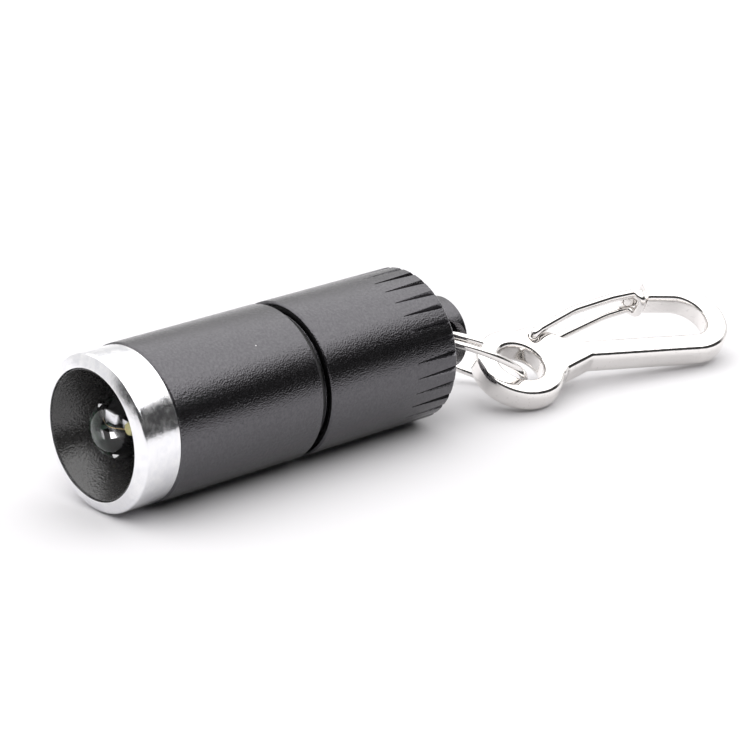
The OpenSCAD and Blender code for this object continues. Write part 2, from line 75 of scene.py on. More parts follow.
# Stations and radii of the turned pieces, in millimetres
BEZEL_W = station("bezel_ring", 1)
HEAD_LEN = station("head_shell", 1)
HEAD_REAR_IN = 6.09
HEAD_THREAD_R = 5.80
THREAD_MOUTH = 17.2
SEAT_R = 4.59
SEAT_REAR = 7.2
EDGE_BREAK = 0.15
SPIGOT_R = 5.8
FRONT_BORE_R = 5.34
CONE_R = 5.32
CONE_DEPTH = 5.4
SPIGOT_FRONT = 1.0
CONE_REAR = station("reflector_cone", 1)
LAMP_R = 2.5
FLANGE_R = 2.9
LAMP_TIP = station("led_lens", 0)
LAMP_BASE = station("led_lens", 1)
LEAD_SPACING = 2.54
LEAD_HEAD_RISE = 5.8
NECK_FRONT = station("tail_shell", 0)
NECK_R = 5.74
THREAD_ROOT_R = 5.42
THREAD_PITCH = 0.75
BORE_R = 4.75
BORE_REAR = 31.22
RELIEF_R = 5.4
GROOVE = (18.0, 18.9)
GROOVE_R = 5.24
REAR_EDGE = 0.3
TAIL_FRONT = HEAD_LEN + 0.85
TAIL_END = 32.87
BOSS_R = 3.16
CROSS_HOLE_R = 1.35
BOSS_END = station("tail_shell", 1)
FLUTES = 30
FLUTE_LEN = 4.5
FLUTE_DEPTH = 0.36
FLUTE_START_DEPTH = 0.06
FLUTE_PHASE = math.radians(8.7)
COLUMNS_PER_FLUTE = 10


# ---------------------------------------------------------------- mesh making


def finish_mesh(name, bm, body, material, replaces=(), smooth_angle=30):
    """Closes a bmesh into a piece that rides on a body."""
    bmesh.ops.remove_doubles(bm, verts=bm.verts, dist=0.0002 * MM)
    bmesh.ops.recalc_face_normals(bm, faces=bm.faces)
    mesh = bpy.data.meshes.new(name)
    bm.to_mesh(mesh)
    bm.free()
    piece = bpy.data.objects.new(name, mesh)
    bpy.context.scene.collection.objects.link(piece)
    mesh.materials.append(material)
    mesh.shade_smooth()
    mesh.set_sharp_from_angle(angle=math.radians(smooth_angle))
    if body:
        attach(piece, body)
    if replaces:
        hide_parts(*replaces)
    return piece


def lathe(profile, steps=192, closed=True):
    """Turns a profile of (radius, station) points round the light's axis."""
    bm = bmesh.new()
    points = [bm.verts.new((r * MM, (s + front_y) * MM, 0)) for r, s in profile]
    edges = [bm.edges.new(pair) for pair in zip(points, points[1:])]
    if closed:
        edges.append(bm.edges.new((points[-1], points[0])))
    bmesh.ops.spin(
        bm, geom=points + edges, cent=(0, 0, 0), axis=(0, 1, 0), dvec=(0, 0, 0),
        angle=math.tau, steps=steps, use_merge=True, use_duplicate=False,
    )
    bmesh.ops.remove_doubles(bm, verts=bm.verts, dist=0.0005 * MM)
    return bm


def rounded(profile, radius, steps=3, closed=True):
    """Profile with each corner replaced by a small arc."""
    count = len(profile)
    out = []
    for i, corner in enumerate(profile):
        here = Vector(corner)
        if not closed and i in (0, count - 1):
            out.append(tuple(here))
            continue
        before, after = Vector(profile[i - 1]), Vector(profile[(i + 1) % count])
        reach = min(radius, (before - here).length * 0.4, (after - here).length * 0.4)
        start = here + (before - here).normalized() * reach
        end = here + (after - here).normalized() * reach
        turn = (here - before).angle(after - here, 0.0)
        if here.x < 1e-6 or turn < math.radians(8):
            out.append(tuple(here))
            continue
        for k in range(steps + 1):
            t = k / steps
            out.append(tuple(start * (1 - t) ** 2 + here * 2 * t * (1 - t) + end * t * t))
    return out


def wire(name, points, diameter, body, material, replaces=(), sides=6):
    """Round wire through a list of points, in millimetres, with closed ends."""
    curve = bpy.data.curves.new(name, "CURVE")
    curve.dimensions = "3D"
    curve.bevel_depth = diameter / 2 * MM
    curve.bevel_resolution = sides
    curve.use_fill_caps = True
    spline = curve.splines.new("POLY")
    spline.points.add(len(points) - 1)
    for point, place in zip(spline.points, points):
        point.co = (*(Vector(place) * MM), 1)
    made = bpy.data.objects.new(name + "_path", curve)
    bpy.context.scene.collection.objects.link(made)
    bpy.context.view_layer.update()
    bm = bmesh.new()
    bm.from_mesh(made.to_mesh())
    bpy.data.objects.remove(made)
    return finish_mesh(name, bm, body, material, replaces, 50)


# ------------------------------------------------------------- shared effects


def node_group(name, inputs, outputs):
    """Empty shader group with its interface made; returns its tree, input node and output node."""
    tree = bpy.data.node_groups.new(name, "ShaderNodeTree")
    for socket, kind, value in inputs:
        made = tree.interface.new_socket(name=socket, in_out="INPUT", socket_type=kind)
        made.default_value = value
    for socket, kind in outputs:
        tree.interface.new_socket(name=socket, in_out="OUTPUT", socket_type=kind)
    return tree, tree.nodes.new("NodeGroupInput"), tree.nodes.new("NodeGroupOutput")


def add(tree, kind, values=None, **settings):
    """New node with its settings and the values of its unlinked sockets."""
    node = tree.nodes.new(kind)
    for name, value in settings.items():
        setattr(node, name, value)
    for key, value in (values or {}).items():
        node.inputs[key].default_value = value
    return node


def ramp(tree, source, stops):
    """Map of a value through (position, grey) stops."""
    node = tree.nodes.new("ShaderNodeValToRGB")
    elements = node.color_ramp.elements
    while len(elements) < len(stops):
        elements.new(0.5)
    for element, (place, grey) in zip(elements, stops):
        element.position = place
        element.color = (grey, grey, grey, 1)
    tree.links.new(source, node.inputs["Fac"])
    return node.outputs["Color"]


def math_node(tree, operation, a, b=None):
    """Maths on two sockets or numbers."""
    node = tree.nodes.new("ShaderNodeMath")
    node.operation = operation
    for slot_index, value in enumerate((a, b)):
        if value is None:
            continue
        if isinstance(value, (int, float)):
            node.inputs[slot_index].default_value = value
        else:
            tree.links.new(value, node.inputs[slot_index])
    return node.outputs[0]


def blasted_grain():
    """Fine orange peel left by bead blasting under an anodised film."""
    tree, given, out = node_group(
        "blasted_grain",
        [("Vector", "NodeSocketVector", (0, 0, 0)), ("Grain Scale", "NodeSocketFloat", 5200.0)],
        [("Height", "NodeSocketFloat"), ("Glint", "NodeSocketFloat")],
    )
    link = tree.links.new
    cells = add(tree, "ShaderNodeTexVoronoi", {"Smoothness": 0.6}, feature="SMOOTH_F1")
    link(given.outputs["Vector"], cells.inputs["Vector"])
    link(given.outputs["Grain Scale"], cells.inputs["Scale"])
    cloud = add(tree, "ShaderNodeTexNoise", {"Detail": 3.0, "Roughness": 0.6})
    link(given.outputs["Vector"], cloud.inputs["Vector"])
    link(math_node(tree, "MULTIPLY", given.outputs["Grain Scale"], 0.55), cloud.inputs["Scale"])
    peel = math_node(tree, "ADD", cells.outputs["Distance"], cloud.outputs["Fac"])
    link(peel, out.inputs["Height"])
    link(ramp(tree, cloud.outputs["Fac"], [(0.35, 0.0), (0.7, 1.0)]), out.inputs["Glint"])
    return tree


def turned_lay():
    """Close circular tool marks round the light's axis, broken by patches."""
    tree, given, out = node_group(
        "turned_lay",
        [("Vector", "NodeSocketVector", (0, 0, 0)), ("Pitch Scale", "NodeSocketFloat", 9000.0)],
        [("Height", "NodeSocketFloat"), ("Patch", "NodeSocketFloat")],
    )
    link = tree.links.new
    stretch = add(tree, "ShaderNodeMapping", {"Scale": (0.035, 1.0, 0.035)})
    link(given.outputs["Vector"], stretch.inputs["Vector"])
    lines = add(tree, "ShaderNodeTexNoise", {"Detail": 4.0, "Roughness": 0.7})
    link(stretch.outputs["Vector"], lines.inputs["Vector"])
    link(given.outputs["Pitch Scale"], lines.inputs["Scale"])
    patches = add(tree, "ShaderNodeTexNoise", {"Scale": 1400.0, "Detail": 4.0, "Roughness": 0.65})
    link(given.outputs["Vector"], patches.inputs["Vector"])
    link(lines.outputs["Fac"], out.inputs["Height"])
    link(ramp(tree, patches.outputs["Fac"], [(0.38, 0.0), (0.66, 1.0)]), out.inputs["Patch"])
    return tree


def handling_marks():
    """Hairline scratches and small dings from use on a key ring."""
    tree, given, out = node_group(
        "handling_marks",
        [("Vector", "NodeSocketVector", (0, 0, 0))],
        [("Scratches", "NodeSocketFloat"), ("Unevenness", "NodeSocketFloat")],
    )
    link = tree.links.new
    hair = None
    for turn in ((0.3, 0.2, 0.5), (1.4, 0.8, -0.6)):
        lean = add(tree, "ShaderNodeMapping", {"Rotation": turn, "Scale": (0.06, 1.0, 1.0)})
        link(given.outputs["Vector"], lean.inputs["Vector"])
        lines = add(tree, "ShaderNodeTexNoise", {"Scale": 3600.0, "Detail": 2.0, "Roughness": 0.5})
        link(lean.outputs["Vector"], lines.inputs["Vector"])
        thin = ramp(tree, lines.outputs["Fac"], [(0.66, 0.0), (0.72, 1.0)])
        hair = thin if hair is None else math_node(tree, "MAXIMUM", hair, thin)
    swell = add(tree, "ShaderNodeTexNoise", {"Scale": 420.0, "Detail": 2.0, "Roughness": 0.5})
    link(given.outputs["Vector"], swell.inputs["Vector"])
    link(hair, out.inputs["Scratches"])
    link(swell.outputs["Fac"], out.inputs["Unevenness"])
    return tree


def settled_dust():
    """Sparse pale specks of lint and dust."""
    tree, given, out = node_group(
        "settled_dust",
        [("Vector", "NodeSocketVector", (0, 0, 0)), ("Spacing Scale", "NodeSocketFloat", 900.0)],
        [("Specks", "NodeSocketFloat")],
    )
    link = tree.links.new
    cells = add(tree, "ShaderNodeTexVoronoi", {"Randomness": 1.0}, feature="F1")
    link(given.outputs["Vector"], cells.inputs["Vector"])
    link(given.outputs["Spacing Scale"], cells.inputs["Scale"])
    spot = ramp(tree, cells.outputs["Distance"], [(0.035, 1.0), (0.06, 0.0)])
    split = tree.nodes.new("ShaderNodeSeparateColor")
    link(cells.outputs["Color"], split.inputs["Color"])
    few = ramp(tree, split.outputs[0], [(0.86, 0.0), (0.9, 1.0)])
    link(math_node(tree, "MULTIPLY", spot, few), out.inputs["Specks"])
    return tree


GRAIN = blasted_grain()
LAY = turned_lay()
MARKS = handling_marks()
DUST = settled_dust()


# ------------------------------------------------------------------ materials


class Finish:
    """One material: its Principled shader, Object coordinates, and short calls for what feeds them."""

    def __init__(self, name, base, roughness, metallic=0.0, **sockets):
        self.material = bpy.data.materials.new(name)
        self.material.use_nodes = True
        self.tree = self.material.node_tree
        self.shader = self.tree.nodes["Principled BSDF"]
        self.shader.inputs["Base Color"].default_value = (*base, 1)
        self.shader.inputs["Roughness"].default_value = roughness
        self.shader.inputs["Metallic"].default_value = metallic
        for socket, value in sockets.items():
            self.shader.inputs[socket.replace("_", " ")].default_value = value
        self.place = self.tree.nodes.new("ShaderNodeTexCoord").outputs["Object"]

    def group(self, tree, **values):
        """Places a shared effect on Object coordinates."""
        node = self.tree.nodes.new("ShaderNodeGroup")
        node.node_tree = tree
        self.link(self.place, node.inputs["Vector"])
        for socket, value in values.items():
            node.inputs[socket.replace("_", " ")].default_value = value
        return node.outputs

    def link(self, source, target):
        self.tree.links.new(source, target)

    def bump(self, *layers):
        """Stacks (height, strength, distance in millimetres) bumps on the normal."""
        normal = None
        for height, strength, depth in layers:
            node = add(self.tree, "ShaderNodeBump", {"Strength": strength, "Distance": depth * MM})
            self.link(height, node.inputs["Height"])
            if normal is not None:
                self.link(normal, node.inputs["Normal"])
            normal = node.outputs["Normal"]
        self.link(normal, self.shader.inputs["Normal"])

    def mix(self, mask, low, high):
        """Colour between two, by a mask."""
        node = add(self.tree, "ShaderNodeMix", data_type="RGBA")
        self.link(mask, node.inputs["Factor"])
        for socket, value in (("A", low), ("B", high)):
            target = [s for s in node.inputs if s.name == socket and s.type == "RGBA"][0]
            if isinstance(value, tuple):
                target.default_value = (*value, 1)
            else:
                self.link(value, target)
        return [s for s in node.outputs if s.type == "RGBA"][0]

    def colour(self, mask, low, high):
        mixed = self.mix(mask, low, high)
        self.link(mixed, self.shader.inputs["Base Color"])
        return mixed

    def vary_roughness(self, mask, low, high):
        """Roughness between two values, by a mask."""
        node = add(self.tree, "ShaderNodeMapRange", {"To Min": low, "To Max": high})
        self.link(mask, node.inputs["Value"])
        self.link(node.outputs["Result"], self.shader.inputs["Roughness"])


def black_anodised():
    """Bead-blasted aluminium under a black film."""
    finish = Finish("black_anodised", (0.10, 0.098, 0.103), 0.3, 1.0)
    grain = finish.group(GRAIN, Grain_Scale=8500.0)
    dust = finish.group(DUST, Spacing_Scale=800.0)
    film = finish.mix(grain["Glint"], (0.092, 0.090, 0.096), (0.118, 0.116, 0.122))
    finish.colour(dust["Specks"], film, (0.72, 0.71, 0.70))
    finish.vary_roughness(grain["Glint"], 0.24, 0.16)
    finish.bump((grain["Height"], 0.75, 0.02))
    return finish.material


def matte_cone():
    """Matte black cone with a moulded grain."""
    finish = Finish("matte_cone", (0.012, 0.0115, 0.011), 0.4, 0.0, Specular_IOR_Level=0.9)
    grain = finish.group(GRAIN, Grain_Scale=7000.0)
    dust = finish.group(DUST, Spacing_Scale=1000.0)
    base = finish.mix(grain["Glint"], (0.010, 0.0095, 0.009), (0.018, 0.0172, 0.0165))
    finish.colour(dust["Specks"], base, (0.5, 0.48, 0.46))
    finish.vary_roughness(grain["Glint"], 0.30, 0.20)
    finish.bump((grain["Height"], 0.8, 0.025))
    return finish.material


def bright_turned():
    """Bare aluminium turned bright, with its circular lay and small dings."""
    finish = Finish("bright_turned", (0.90, 0.90, 0.92), 0.18, 1.0)
    lay = finish.group(LAY, Pitch_Scale=9000.0)
    marks = finish.group(MARKS)
    finish.colour(lay["Patch"], (0.84, 0.845, 0.87), (0.95, 0.95, 0.955))
    finish.vary_roughness(lay["Patch"], 0.13, 0.26)
    finish.bump(
        (lay["Height"], 0.35, 0.010),
        (lay["Patch"], 0.25, 0.012),
        (marks["Scratches"], 0.3, 0.006),
    )
    return finish.material


def polished_nickel(name, tint, roughness, swell):
    """Nickel plate over a polished casting or wire."""
    finish = Finish(name, tint, roughness, 1.0)
    marks = finish.group(MARKS)
    worn = tuple(c * 0.86 for c in tint)
    finish.colour(marks["Scratches"], tint, worn)
    finish.vary_roughness(marks["Unevenness"], roughness * 0.6, roughness * 1.6)
    finish.bump((marks["Unevenness"], 1.0, swell), (marks["Scratches"], 0.15, 0.004))
    return finish.material


def clear_epoxy():
    """Water-clear cast epoxy of the lamp."""
    finish = Finish("clear_epoxy", (0.985, 0.99, 1.0), 0.015, 0.0, Transmission_Weight=1.0, IOR=1.52)
    marks = finish.group(MARKS)
    finish.bump((marks["Unevenness"], 0.5, 0.01))
    return finish.material


def plain(name, low, high, roughness, metallic=0.0, scale=900.0, depth=0.01):
    """Moulded, plated or rubber finish whose colour and gloss drift a little over the piece."""
    finish = Finish(name, low, roughness, metallic)
    cloud = add(finish.tree, "ShaderNodeTexNoise", {"Scale": scale, "Detail": 4.0, "Roughness": 0.6})
    finish.link(finish.place, cloud.inputs["Vector"])
    finish.colour(cloud.outputs["Fac"], low, high)
    finish.vary_roughness(cloud.outputs["Fac"], roughness * 0.8, roughness * 1.25)
    finish.bump((cloud.outputs["Fac"], 0.3, depth))
    return finish.material


SHELL = black_anodised()
CONE = matte_cone()
BEZEL = bright_turned()
HOOK = polished_nickel("nickel_casting", (0.86, 0.84, 0.82), 0.09, 0.05)
GATE = polished_nickel("nickel_gate_wire", (0.84, 0.82, 0.80), 0.08, 0.02)
RING = polished_nickel("nickel_ring_wire", (0.82, 0.80, 0.78), 0.14, 0.01)
EPOXY = clear_epoxy()
LEADS = plain("silvered_leads", (0.78, 0.78, 0.80), (0.88, 0.88, 0.9), 0.25, 1.0)
CHIP = plain("phosphor", (0.80, 0.72, 0.30), (0.90, 0.84, 0.45), 0.6)
SEAT = plain("white_moulding", (0.80, 0.79, 0.75), (0.88, 0.87, 0.84), 0.45)
BOARD = plain("solder_mask", (0.02, 0.10, 0.045), (0.035, 0.15, 0.07), 0.3)
CONTACTS = plain("gold_plate", (0.83, 0.62, 0.30), (0.92, 0.72, 0.40), 0.22, 1.0)
RESISTOR = plain("ceramic_chip", (0.02, 0.02, 0.022), (0.05, 0.05, 0.055), 0.4)
CELLS = plain("cell_can", (0.66, 0.66, 0.67), (0.76, 0.76, 0.77), 0.2, 1.0)
SLEEVE = plain("shrink_film", (0.82, 0.82, 0.80), (0.88, 0.88, 0.86), 0.5)
SPRING = plain("spring_wire", (0.55, 0.55, 0.56), (0.68, 0.68, 0.70), 0.28, 1.0)
SEAL = plain("nitrile", (0.012, 0.012, 0.012), (0.025, 0.025, 0.025), 0.45)


# ---------------------------------------------------------------- head pieces


def bezel_ring():
    profile = [
        (FRONT_BORE_R, 0.0), (bezel_r - 0.12, 0.40), (bezel_r, 0.56), (bezel_r, BEZEL_W - 0.06),
        (bezel_r - 0.06, BEZEL_W), (SPIGOT_R, BEZEL_W), (SPIGOT_R, SPIGOT_FRONT),
        (FRONT_BORE_R, SPIGOT_FRONT),
    ]
    finish_mesh("turned_bezel", lathe(rounded(profile, 0.08)), "head", BEZEL, ["bezel_ring"])


def head_shell():
    profile = [
        (FRONT_BORE_R, SPIGOT_FRONT), (SPIGOT_R, SPIGOT_FRONT), (SPIGOT_R, BEZEL_W),
        (barrel_r - EDGE_BREAK, BEZEL_W), (barrel_r, BEZEL_W + EDGE_BREAK),
        (barrel_r, HEAD_LEN - EDGE_BREAK), (barrel_r - EDGE_BREAK, HEAD_LEN),
        (HEAD_REAR_IN + EDGE_BREAK, HEAD_LEN), (HEAD_REAR_IN, HEAD_LEN - EDGE_BREAK),
        (HEAD_REAR_IN, THREAD_MOUTH + 0.3), (HEAD_THREAD_R, THREAD_MOUTH), (HEAD_THREAD_R, 9.8),
        (FRONT_BORE_R, 9.8), (FRONT_BORE_R, SEAT_REAR), (SEAT_R, SEAT_REAR),
        (SEAT_R, CONE_REAR + 0.02), (FRONT_BORE_R, CONE_REAR + 0.02),
    ]
    finish_mesh("blasted_head", lathe(rounded(profile, 0.05)), "head", SHELL, ["head_shell"])


def reflector_cone():
    profile = [
        (CONE_R - 0.12, 0.12), (CONE_R, 0.24), (CONE_R, CONE_REAR), (LAMP_R + 0.1, CONE_REAR),
        (LAMP_R + 0.1, CONE_DEPTH),
    ]
    finish_mesh("black_cone", lathe(rounded(profile, 0.06)), "head", CONE, ["reflector_cone"])


def lamp():
    """Clear dome cast round its lead frame, with the cup, the chip and the bond wire inside."""
    centre = LAMP_TIP + LAMP_R
    dome = [
        (LAMP_R * math.cos(math.radians(a)), centre - LAMP_R * math.sin(math.radians(a)))
        for a in range(90, -1, -6)
    ]
    dome[0] = (0.0, LAMP_TIP)
    body = dome + [(LAMP_R, LAMP_BASE - 1.0), (FLANGE_R, LAMP_BASE - 1.0)]
    body += [(FLANGE_R, LAMP_BASE), (0.0, LAMP_BASE)]
    finish_mesh("epoxy_lamp", lathe(body, 96, closed=False), "head", EPOXY, ["led_lens"], 40)
    lead_frame("anvil_lead", 1, 1.9, 0.55, "led_anvil")
    lead_frame("post_lead", -1, 0.8, 0.3, "led_post")
    top = LAMP_BASE - LEAD_HEAD_RISE
    cup_x = LEAD_SPACING / 2 + 0.25 - 0.95
    bm = bmesh.new()
    made = bmesh.ops.create_cone(
        bm, segments=24, radius1=0.42 * MM, radius2=0.34 * MM, depth=0.22 * MM, cap_ends=True,
    )
    bmesh.ops.rotate(bm, verts=made["verts"], matrix=Matrix.Rotation(math.pi / 2, 3, "X"))
    bmesh.ops.translate(bm, verts=made["verts"], vec=Vector((cup_x, front_y + top - 0.12, 0)) * MM)
    finish_mesh("phosphor_dab", bm, "head", CHIP, ["led_chip"])
    arc = []
    for k in range(13):
        t = k / 12
        across = cup_x + (-LEAD_SPACING / 2 - cup_x) * t
        arc.append((across, front_y + top - 0.25 - 0.5 * math.sin(math.pi * t), 0))
    wire("bond_wire", arc, 0.035, "head", CONTACTS, sides=2)


def lead_frame(name, side, width, rise, node):
    """Stamped lead: a straight leg under a wide head whose outer shoulder slopes."""
    thick = 0.5
    leg_x = side * LEAD_SPACING / 2
    top = front_y + LAMP_BASE - LEAD_HEAD_RISE
    foot = front_y + LAMP_BASE + 1.2
    outer = leg_x + side * thick / 2
    inner = outer - side * width
    outline = [
        (outer, top + 2.2), (outer, top + 0.25 + rise), (outer - side * 0.15, top),
        (inner + side * 0.1, top), (inner, top + 0.12), (inner, top + 0.9),
        (leg_x - side * thick / 2, top + 2.2), (leg_x - side * thick / 2, foot), (outer, foot),
    ]
    bm = bmesh.new()
    face = bm.faces.new([bm.verts.new((x * MM, y * MM, -thick / 2 * MM)) for x, y in outline])
    lifted = bmesh.ops.extrude_face_region(bm, geom=[face])
    moved = [v for v in lifted["geom"] if isinstance(v, bmesh.types.BMVert)]
    bmesh.ops.translate(bm, verts=moved, vec=(0, 0, thick * MM))
    bmesh.ops.bevel(
        bm, geom=list(bm.edges), offset=0.04 * MM, offset_type="OFFSET", segments=2, profile=0.5,
        affect="EDGES", material=-1,
    )
    finish_mesh(name, bm, "head", LEADS, [node])


# ---------------------------------------------------------------- tail pieces


def tail_outer():
    """Fluted grip and lanyard boss, with the seal groove in front."""
    rows = [TAIL_END - FLUTE_LEN + FLUTE_LEN * k / 12 for k in range(13)]
    flank = [(barrel_r, s) for s in rows[:-1]]
    profile = [
        (BORE_R, NECK_FRONT), (THREAD_ROOT_R, NECK_FRONT), (THREAD_ROOT_R, 15.2), (RELIEF_R, 15.5),
        (RELIEF_R, 17.4), (NECK_R, 17.7), (NECK_R, GROOVE[0]), (GROOVE_R, GROOVE[0]),
        (GROOVE_R, GROOVE[1]), (NECK_R, GROOVE[1]), (NECK_R, TAIL_FRONT),
        (barrel_r - EDGE_BREAK, TAIL_FRONT), (barrel_r, TAIL_FRONT + EDGE_BREAK), (barrel_r, 24.0),
        (barrel_r, rows[0] - 0.12), (barrel_r, rows[0] - 0.04), *flank,
        (barrel_r, TAIL_END - REAR_EDGE), (barrel_r - REAR_EDGE, TAIL_END), (BOSS_R, TAIL_END),
        (BOSS_R, BOSS_END - REAR_EDGE), (BOSS_R - REAR_EDGE, BOSS_END), (0.0, BOSS_END),
        (0.0, BORE_REAR), (BORE_R, BORE_REAR),
    ]
    bm = lathe(rounded(profile, 0.05), FLUTES * COLUMNS_PER_FLUTE)
    press_flutes(bm)
    piece = finish_mesh("fluted_tail", bm, "tail", SHELL, ["tail_shell"])
    drill_boss(piece)


def press_flutes(bm):
    """Moves the columns of the grip into V-shaped flutes that deepen towards the rear edge."""
    pitch = math.tau / FLUTES
    for vert in bm.verts:
        along = vert.co.y / MM - front_y
        radius = math.hypot(vert.co.x, vert.co.z) / MM
        back = along - (TAIL_END - FLUTE_LEN)
        if back < -0.01 or radius < barrel_r - 0.32 or along > TAIL_END + 0.001:
            continue
        depth = FLUTE_START_DEPTH + (FLUTE_DEPTH - FLUTE_START_DEPTH) * back / FLUTE_LEN
        depth = max(depth - (barrel_r - radius), 0.0)
        half = depth * math.tan(math.radians(36)) / radius
        turn = math.atan2(vert.co.z, vert.co.x) - FLUTE_PHASE
        column = round((turn % pitch) / pitch * COLUMNS_PER_FLUTE) % COLUMNS_PER_FLUTE
        base = turn - (turn % pitch) if (turn % pitch) < pitch * 0.98 else turn
        if column == 0:
            angle, out = round(turn / pitch) * pitch, radius - depth
        else:
            share = (column - 1) / (COLUMNS_PER_FLUTE - 2)
            angle, out = base + half + (pitch - 2 * half) * share, radius
        angle += FLUTE_PHASE
        vert.co.x = out * math.cos(angle) * MM
        vert.co.z = out * math.sin(angle) * MM


def drill_boss(piece):
    """Cross hole through the boss, countersunk at both mouths."""
    axis = Vector(joints["ring_swing"]["axis"]).normalized()
    place = Vector(joints["ring_swing"]["pos_m"])
    bore, reach = CROSS_HOLE_R * MM, 4.2 * MM
    mouth = math.sqrt(BOSS_R ** 2 - CROSS_HOLE_R ** 2) * MM - 0.1 * MM
    bm = bmesh.new()
    flare = bore + reach - mouth
    profile = [(0, -reach), (flare, -reach), (bore, -mouth), (bore, mouth), (flare, reach), (0, reach)]
    points = [bm.verts.new((r, 0, h)) for r, h in profile]
    edges = [bm.edges.new(pair) for pair in zip(points, points[1:])]
    bmesh.ops.spin(
        bm, geom=points + edges, cent=(0, 0, 0), axis=(0, 0, 1), dvec=(0, 0, 0),
        angle=math.tau, steps=64, use_merge=True, use_duplicate=False,
    )
    bmesh.ops.remove_doubles(bm, verts=bm.verts, dist=0.0005 * MM)
    bmesh.ops.recalc_face_normals(bm, faces=bm.faces)
    turn = axis.to_track_quat("Z", "Y").to_matrix().to_4x4()
    bmesh.ops.transform(bm, verts=bm.verts, matrix=Matrix.Translation(place) @ turn)
    mesh = bpy.data.meshes.new("boss_drill")
    bm.to_mesh(mesh)
    bm.free()
    drill = bpy.data.objects.new("boss_drill", mesh)
    bpy.context.scene.collection.objects.link(drill)
    apply_boolean(piece, drill, "DIFFERENCE")
    piece.data.set_sharp_from_angle(angle=math.radians(30))


def apply_boolean(piece, tool, operation):
    """Cuts or joins a piece with a tool mesh, and removes the tool."""
    cut = piece.modifiers.new("cut", "BOOLEAN")
    cut.operation, cut.object, cut.solver = operation, tool, "EXACT"
    apply_modifiers(piece)
    bpy.data.objects.remove(tool)


def apply_modifiers(piece):
    """Turns the piece's modifiers into plain mesh."""
    bpy.context.view_layer.update()
    shaped = bpy.data.meshes.new_from_object(piece.evaluated_get(bpy.context.evaluated_depsgraph_get()))
    piece.modifiers.clear()
    piece.data = shaped


def neck_thread():
    """Single-start thread on the neck, cut as one ridge that climbs at the pitch."""
    steps_per_turn = 72
    turns = 5.6
    start = NECK_FRONT + 0.45
    bm = bmesh.new()
    flank, depth = THREAD_PITCH * 0.42, NECK_R - THREAD_ROOT_R
    outline = [
        (THREAD_ROOT_R - 0.08, -flank), (THREAD_ROOT_R, -flank), (NECK_R, -0.06), (NECK_R, 0.06),
        (THREAD_ROOT_R, flank), (THREAD_ROOT_R - 0.08, flank),
    ]
    points = [bm.verts.new((r * MM, (start + s + front_y) * MM, 0)) for r, s in outline]
    face = bm.faces.new(points)
    bmesh.ops.spin(
        bm, geom=[face], cent=(0, 0, 0), axis=(0, 1, 0), angle=math.tau * turns,
        dvec=(0, THREAD_PITCH / steps_per_turn * MM, 0), steps=int(steps_per_turn * turns),
        use_merge=False, use_duplicate=False,
    )
    finish_mesh("neck_thread", bm, "tail", SHELL)


def tail_spring():
    """Conical spring between the tail's end wall and the last cell."""
    turns, wide_at, narrow_at, narrow, wide = 4.5, 31.0, 25.44, 1.9, 3.75
    points = []
    for k in range(int(turns * 48) + 1):
        t = k / (turns * 48)
        rise = min(max((t * turns - 0.75) / 3, 0), 1)
        radius = narrow + (wide - narrow) * t
        angle = math.tau * turns * t
        level = narrow_at + (wide_at - narrow_at) * rise
        points.append((radius * math.cos(angle), front_y + level, radius * math.sin(angle)))
    spring = wire("coiled_spring", points, 0.4, None, SPRING, ["tail_spring"], sides=4)
    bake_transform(spring)


# ----------------------------------------------------------- ring, hook, gate

# The ring hangs from the cross hole: turned with the hole, then drooping to the table
BOSS_TILT, RING_DROOP = math.radians(15), math.radians(33.7)
RING_R = 5.35
RING_WIRE = 0.66
RING_LEVEL = 0.345
RING_ACROSS = Vector((math.cos(BOSS_TILT), 0, math.sin(BOSS_TILT)))
RING_ALONG = Vector((
    math.sin(RING_DROOP) * math.sin(BOSS_TILT),
    math.cos(RING_DROOP),
    -math.sin(RING_DROOP) * math.cos(BOSS_TILT),
))
RING_AXIS = RING_ACROSS.cross(RING_ALONG)
RING_REACH = (RING_R + math.sqrt(RING_R ** 2 - BOSS_R ** 2)) / 2
RING_CENTRE = Vector(joints["ring_swing"]["pos_m"]) / MM + RING_ALONG * RING_REACH

# The hook is drawn flat: its eye at the origin, its spine along X, the gate on the +Y side
HOOK_T = 2.3
EDGE_R = 0.55
EYE_R = 2.05
EYE_OUT_R = 4.0
PIVOT = Vector((2.5, 2.5))
SPINE_W = 2.05
SPINE_FROM = 6.6
SPINE_TILT = -5.35
BOW_CENTRE = Vector((18.57, 2.6))
BOW_R = 3.25
BOW_TURN = (SPINE_TILT - 90, 80.0)
ARM_LEN = 2.6
TONGUE = (2.1, 1.25, 0.9)
GATE_WIRE = 0.8


def heading_of(degrees):
    """Unit vector in the hook's plane."""
    return Vector((math.cos(math.radians(degrees)), math.sin(math.radians(degrees))))


BOW_FOOT = BOW_CENTRE + BOW_R * heading_of(BOW_TURN[0])
BOW_HEAD = BOW_CENTRE + BOW_R * heading_of(BOW_TURN[1])
ARM_END = BOW_HEAD + ARM_LEN * heading_of(BOW_TURN[1] + 90)
SPINE_START = BOW_FOOT - (BOW_FOOT.x - SPINE_FROM) * Vector((1, math.tan(math.radians(SPINE_TILT))))

# Then it is rolled, pitched and headed to where it lies, with its eye hanging on the ring
HOOK_LIE = Euler((math.radians(26.3), math.radians(2.64), math.radians(78.6)), "XYZ")
EYE_ON_RING = math.radians(141)
EYE_OFFSET = Vector((-0.91, 0.13, 0.2))
EYE_PLACE = (
    RING_CENTRE - RING_ALONG * RING_R * math.cos(EYE_ON_RING)
    + RING_ACROSS * RING_R * math.sin(EYE_ON_RING) + EYE_OFFSET
)
HOOK_PLACE = Matrix.Translation(EYE_PLACE) @ HOOK_LIE.to_matrix().to_4x4()


